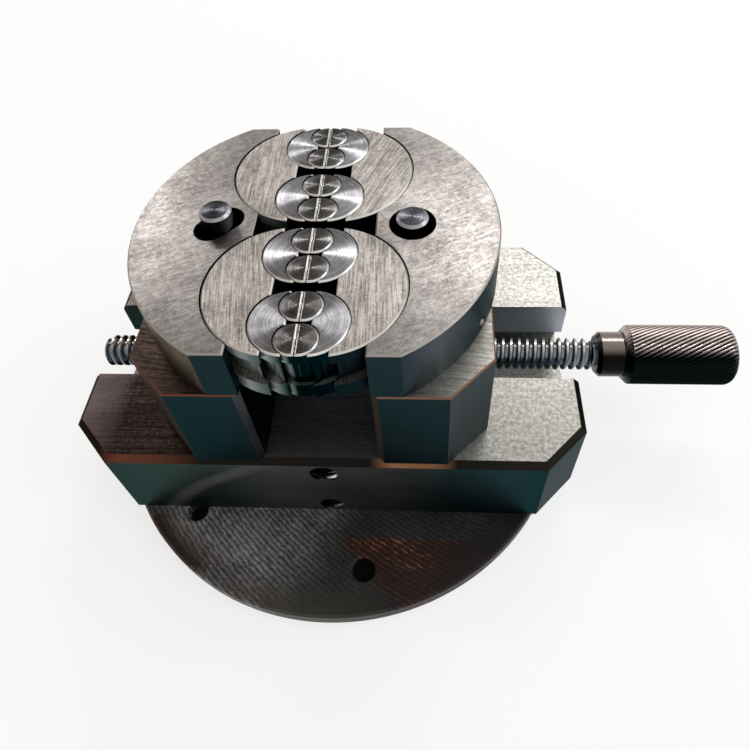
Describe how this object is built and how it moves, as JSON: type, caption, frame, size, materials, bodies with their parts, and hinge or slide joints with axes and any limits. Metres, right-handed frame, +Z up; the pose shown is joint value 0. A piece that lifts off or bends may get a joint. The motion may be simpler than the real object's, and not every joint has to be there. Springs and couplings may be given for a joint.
{
  "type": "nested-arc jaw vise",
  "caption": "Bench vise whose slides carry crescent jaws with nested half discs that turn to fit uneven work, on a swivelling round base.",
  "frame": {"origin": "centre of the round base's underside", "axes": "+X along the lead screw towards the handle, +Z up, front of the vise at -Y"},
  "size_m": [0.2397, 0.1772, 0.11],
  "materials": {
    "ground_steel": "satin",
    "dark_steel": "satin",
    "polished_steel": "polished",
    "base_steel": "satin",
    "thread_steel": "satin",
    "handle_steel": "satin",
    "bronze": "satin",
    "fastener_steel": "satin"
  },
  "bodies": {
    "base": {"base_plate": "base_steel"},
    "vise_body": {"vise_body": "dark_steel", "screw_bearing_block": "dark_steel", "bearing_lock_screws": "fastener_steel", "base_lock_screws": "fastener_steel"},
    "screw": {"lead_screw": "thread_steel", "left_thrust_collar": "dark_steel", "right_thrust_collar": "dark_steel", "handle": "handle_steel", "handle_grub_screw": "fastener_steel"},
    "left_slide": {"left_slide": "dark_steel", "left_nut": "bronze", "left_nut_screws": "fastener_steel", "left_outer_jaw": "ground_steel", "left_jaw_pin": "ground_steel", "left_jaw_lock_screws": "fastener_steel"},
    "right_slide": {"right_slide": "dark_steel", "right_nut": "bronze", "right_nut_screws": "fastener_steel", "right_outer_jaw": "ground_steel", "right_jaw_pin": "ground_steel", "right_jaw_lock_screws": "fastener_steel"},
    "left_large_jaw_front": {"left_large_jaw_front": "ground_steel"},
    "right_large_jaw_front": {"right_large_jaw_front": "ground_steel"},
    "left_large_jaw_back": {"left_large_jaw_back": "ground_steel"},
    "right_large_jaw_back": {"right_large_jaw_back": "ground_steel"},
    "left_medium_jaw_1": {"left_medium_jaw_1": "polished_steel"},
    "right_medium_jaw_1": {"right_medium_jaw_1": "polished_steel"},
    "left_medium_jaw_2": {"left_medium_jaw_2": "polished_steel"},
    "right_medium_jaw_2": {"right_medium_jaw_2": "polished_steel"},
    "left_medium_jaw_3": {"left_medium_jaw_3": "polished_steel"},
    "right_medium_jaw_3": {"right_medium_jaw_3": "polished_steel"},
    "left_medium_jaw_4": {"left_medium_jaw_4": "polished_steel"},
    "right_medium_jaw_4": {"right_medium_jaw_4": "polished_steel"},
    "left_small_jaw_1": {"left_small_jaw_1": "polished_steel"},
    "right_small_jaw_1": {"right_small_jaw_1": "polished_steel"},
    "left_small_jaw_2": {"left_small_jaw_2": "polished_steel"},
    "right_small_jaw_2": {"right_small_jaw_2": "polished_steel"},
    "left_small_jaw_3": {"left_small_jaw_3": "polished_steel"},
    "right_small_jaw_3": {"right_small_jaw_3": "polished_steel"},
    "left_small_jaw_4": {"left_small_jaw_4": "polished_steel"},
    "right_small_jaw_4": {"right_small_jaw_4": "polished_steel"},
    "left_small_jaw_5": {"left_small_jaw_5": "polished_steel"},
    "right_small_jaw_5": {"right_small_jaw_5": "polished_steel"},
    "left_small_jaw_6": {"left_small_jaw_6": "polished_steel"},
    "right_small_jaw_6": {"right_small_jaw_6": "polished_steel"},
    "left_small_jaw_7": {"left_small_jaw_7": "polished_steel"},
    "right_small_jaw_7": {"right_small_jaw_7": "polished_steel"},
    "left_small_jaw_8": {"left_small_jaw_8": "polished_steel"},
    "right_small_jaw_8": {"right_small_jaw_8": "polished_steel"}
  },
  "joints": [
    {"name": "base_swivel", "type": "hinge", "parent": "base", "child": "vise_body", "pos_m": [0, 0, 0.006], "axis": [0, 0, 1], "continuous": true},
    {"name": "screw_turn", "type": "hinge", "parent": "vise_body", "child": "screw", "pos_m": [0, 0, 0.0355], "axis": [1, 0, 0], "range_deg": [0, 3600]},
    {"name": "left_slide_travel", "type": "slide", "parent": "vise_body", "child": "left_slide", "axis": [-1, 0, 0], "range_m": [0, 0.03]},
    {"name": "right_slide_travel", "type": "slide", "parent": "vise_body", "child": "right_slide", "axis": [1, 0, 0], "range_m": [0, 0.03]},
    {"name": "left_large_jaw_front_turn", "type": "hinge", "parent": "left_slide", "child": "left_large_jaw_front", "pos_m": [-0.0054, -0.0258, 0.094], "axis": [0, 0, 1], "range_deg": [-10, 10]},
    {"name": "right_large_jaw_front_turn", "type": "hinge", "parent": "right_slide", "child": "right_large_jaw_front", "pos_m": [0.0054, -0.0258, 0.094], "axis": [0, 0, 1], "range_deg": [-10, 10]},
    {"name": "left_large_jaw_back_turn", "type": "hinge", "parent": "left_slide", "child": "left_large_jaw_back", "pos_m": [-0.0054, 0.0258, 0.094], "axis": [0, 0, 1], "range_deg": [-10, 10]},
    {"name": "right_large_jaw_back_turn", "type": "hinge", "parent": "right_slide", "child": "right_large_jaw_back", "pos_m": [0.0054, 0.0258, 0.094], "axis": [0, 0, 1], "range_deg": [-10, 10]},
    {"name": "left_medium_jaw_1_turn", "type": "hinge", "parent": "left_large_jaw_front", "child": "left_medium_jaw_1", "pos_m": [-0.0029, -0.03875, 0.094], "axis": [0, 0, -1], "range_deg": [-15, 15]},
    {"name": "right_medium_jaw_1_turn", "type": "hinge", "parent": "right_large_jaw_front", "child": "right_medium_jaw_1", "pos_m": [0.0029, -0.03875, 0.094], "axis": [0, 0, -1], "range_deg": [-15, 15]},
    {"name": "left_medium_jaw_2_turn", "type": "hinge", "parent": "left_large_jaw_front", "child": "left_medium_jaw_2", "pos_m": [-0.0029, -0.01285, 0.094], "axis": [0, 0, -1], "range_deg": [-15, 15]},
    {"name": "right_medium_jaw_2_turn", "type": "hinge", "parent": "right_large_jaw_front", "child": "right_medium_jaw_2", "pos_m": [0.0029, -0.01285, 0.094], "axis": [0, 0, -1], "range_deg": [-15, 15]},
    {"name": "left_medium_jaw_3_turn", "type": "hinge", "parent": "left_large_jaw_back", "child": "left_medium_jaw_3", "pos_m": [-0.0029, 0.01285, 0.094], "axis": [0, 0, -1], "range_deg": [-15, 15]},
    {"name": "right_medium_jaw_3_turn", "type": "hinge", "parent": "right_large_jaw_back", "child": "right_medium_jaw_3", "pos_m": [0.0029, 0.01285, 0.094], "axis": [0, 0, -1], "range_deg": [-15, 15]},
    {"name": "left_medium_jaw_4_turn", "type": "hinge", "parent": "left_large_jaw_back", "child": "left_medium_jaw_4", "pos_m": [-0.0029, 0.03875, 0.094], "axis": [0, 0, -1], "range_deg": [-15, 15]},
    {"name": "right_medium_jaw_4_turn", "type": "hinge", "parent": "right_large_jaw_back", "child": "right_medium_jaw_4", "pos_m": [0.0029, 0.03875, 0.094], "axis": [0, 0, -1], "range_deg": [-15, 15]},
    {"name": "left_small_jaw_1_turn", "type": "hinge", "parent": "left_medium_jaw_1", "child": "left_small_jaw_1", "pos_m": [-0.00086, -0.0446, 0.094], "axis": [0, 0, 1], "range_deg": [-20, 20]},
    {"name": "right_small_jaw_1_turn", "type": "hinge", "parent": "right_medium_jaw_1", "child": "right_small_jaw_1", "pos_m": [0.00086, -0.0446, 0.094], "axis": [0, 0, 1], "range_deg": [-20, 20]},
    {"name": "left_small_jaw_2_turn", "type": "hinge", "parent": "left_medium_jaw_1", "child": "left_small_jaw_2", "pos_m": [-0.00086, -0.0329, 0.094], "axis": [0, 0, 1], "range_deg": [-20, 20]},
    {"name": "right_small_jaw_2_turn", "type": "hinge", "parent": "right_medium_jaw_1", "child": "right_small_jaw_2", "pos_m": [0.00086, -0.0329, 0.094], "axis": [0, 0, 1], "range_deg": [-20, 20]},
    {"name": "left_small_jaw_3_turn", "type": "hinge", "parent": "left_medium_jaw_2", "child": "left_small_jaw_3", "pos_m": [-0.00086, -0.0187, 0.094], "axis": [0, 0, 1], "range_deg": [-20, 20]},
    {"name": "right_small_jaw_3_turn", "type": "hinge", "parent": "right_medium_jaw_2", "child": "right_small_jaw_3", "pos_m": [0.00086, -0.0187, 0.094], "axis": [0, 0, 1], "range_deg": [-20, 20]},
    {"name": "left_small_jaw_4_turn", "type": "hinge", "parent": "left_medium_jaw_2", "child": "left_small_jaw_4", "pos_m": [-0.00086, -0.007, 0.094], "axis": [0, 0, 1], "range_deg": [-20, 20]},
    {"name": "right_small_jaw_4_turn", "type": "hinge", "parent": "right_medium_jaw_2", "child": "right_small_jaw_4", "pos_m": [0.00086, -0.007, 0.094], "axis": [0, 0, 1], "range_deg": [-20, 20]},
    {"name": "left_small_jaw_5_turn", "type": "hinge", "parent": "left_medium_jaw_3", "child": "left_small_jaw_5", "pos_m": [-0.00086, 0.007, 0.094], "axis": [0, 0, 1], "range_deg": [-20, 20]},
    {"name": "right_small_jaw_5_turn", "type": "hinge", "parent": "right_medium_jaw_3", "child": "right_small_jaw_5", "pos_m": [0.00086, 0.007, 0.094], "axis": [0, 0, 1], "range_deg": [-20, 20]},
    {"name": "left_small_jaw_6_turn", "type": "hinge", "parent": "left_medium_jaw_3", "child": "left_small_jaw_6", "pos_m": [-0.00086, 0.0187, 0.094], "axis": [0, 0, 1], "range_deg": [-20, 20]},
    {"name": "right_small_jaw_6_turn", "type": "hinge", "parent": "right_medium_jaw_3", "child": "right_small_jaw_6", "pos_m": [0.00086, 0.0187, 0.094], "axis": [0, 0, 1], "range_deg": [-20, 20]},
    {"name": "left_small_jaw_7_turn", "type": "hinge", "parent": "left_medium_jaw_4", "child": "left_small_jaw_7", "pos_m": [-0.00086, 0.0329, 0.094], "axis": [0, 0, 1], "range_deg": [-20, 20]},
    {"name": "right_small_jaw_7_turn", "type": "hinge", "parent": "right_medium_jaw_4", "child": "right_small_jaw_7", "pos_m": [0.00086, 0.0329, 0.094], "axis": [0, 0, 1], "range_deg": [-20, 20]},
    {"name": "left_small_jaw_8_turn", "type": "hinge", "parent": "left_medium_jaw_4", "child": "left_small_jaw_8", "pos_m": [-0.00086, 0.0446, 0.094], "axis": [0, 0, 1], "range_deg": [-20, 20]},
    {"name": "right_small_jaw_8_turn", "type": "hinge", "parent": "right_medium_jaw_4", "child": "right_small_jaw_8", "pos_m": [0.00086, 0.0446, 0.094], "axis": [0, 0, 1], "range_deg": [-20, 20]}
  ],
  "couplings": [
    {"joint": "left_slide_travel", "follows": "screw_turn", "m_per_rad": 0.00047746},
    {"joint": "right_slide_travel", "follows": "screw_turn", "m_per_rad": 0.00047746},
    {"joint": "right_large_jaw_front_turn", "follows": "left_large_jaw_front_turn", "ratio": 1},
    {"joint": "right_large_jaw_back_turn", "follows": "left_large_jaw_back_turn", "ratio": 1},
    {"joint": "right_medium_jaw_1_turn", "follows": "left_medium_jaw_1_turn", "ratio": 1},
    {"joint": "right_medium_jaw_2_turn", "follows": "left_medium_jaw_2_turn", "ratio": 1},
    {"joint": "right_medium_jaw_3_turn", "follows": "left_medium_jaw_3_turn", "ratio": 1},
    {"joint": "right_medium_jaw_4_turn", "follows": "left_medium_jaw_4_turn", "ratio": 1},
    {"joint": "right_small_jaw_1_turn", "follows": "left_small_jaw_1_turn", "ratio": 1},
    {"joint": "right_small_jaw_2_turn", "follows": "left_small_jaw_2_turn", "ratio": 1},
    {"joint": "right_small_jaw_3_turn", "follows": "left_small_jaw_3_turn", "ratio": 1},
    {"joint": "right_small_jaw_4_turn", "follows": "left_small_jaw_4_turn", "ratio": 1},
    {"joint": "right_small_jaw_5_turn", "follows": "left_small_jaw_5_turn", "ratio": 1},
    {"joint": "right_small_jaw_6_turn", "follows": "left_small_jaw_6_turn", "ratio": 1},
    {"joint": "right_small_jaw_7_turn", "follows": "left_small_jaw_7_turn", "ratio": 1},
    {"joint": "right_small_jaw_8_turn", "follows": "left_small_jaw_8_turn", "ratio": 1}
  ]
}
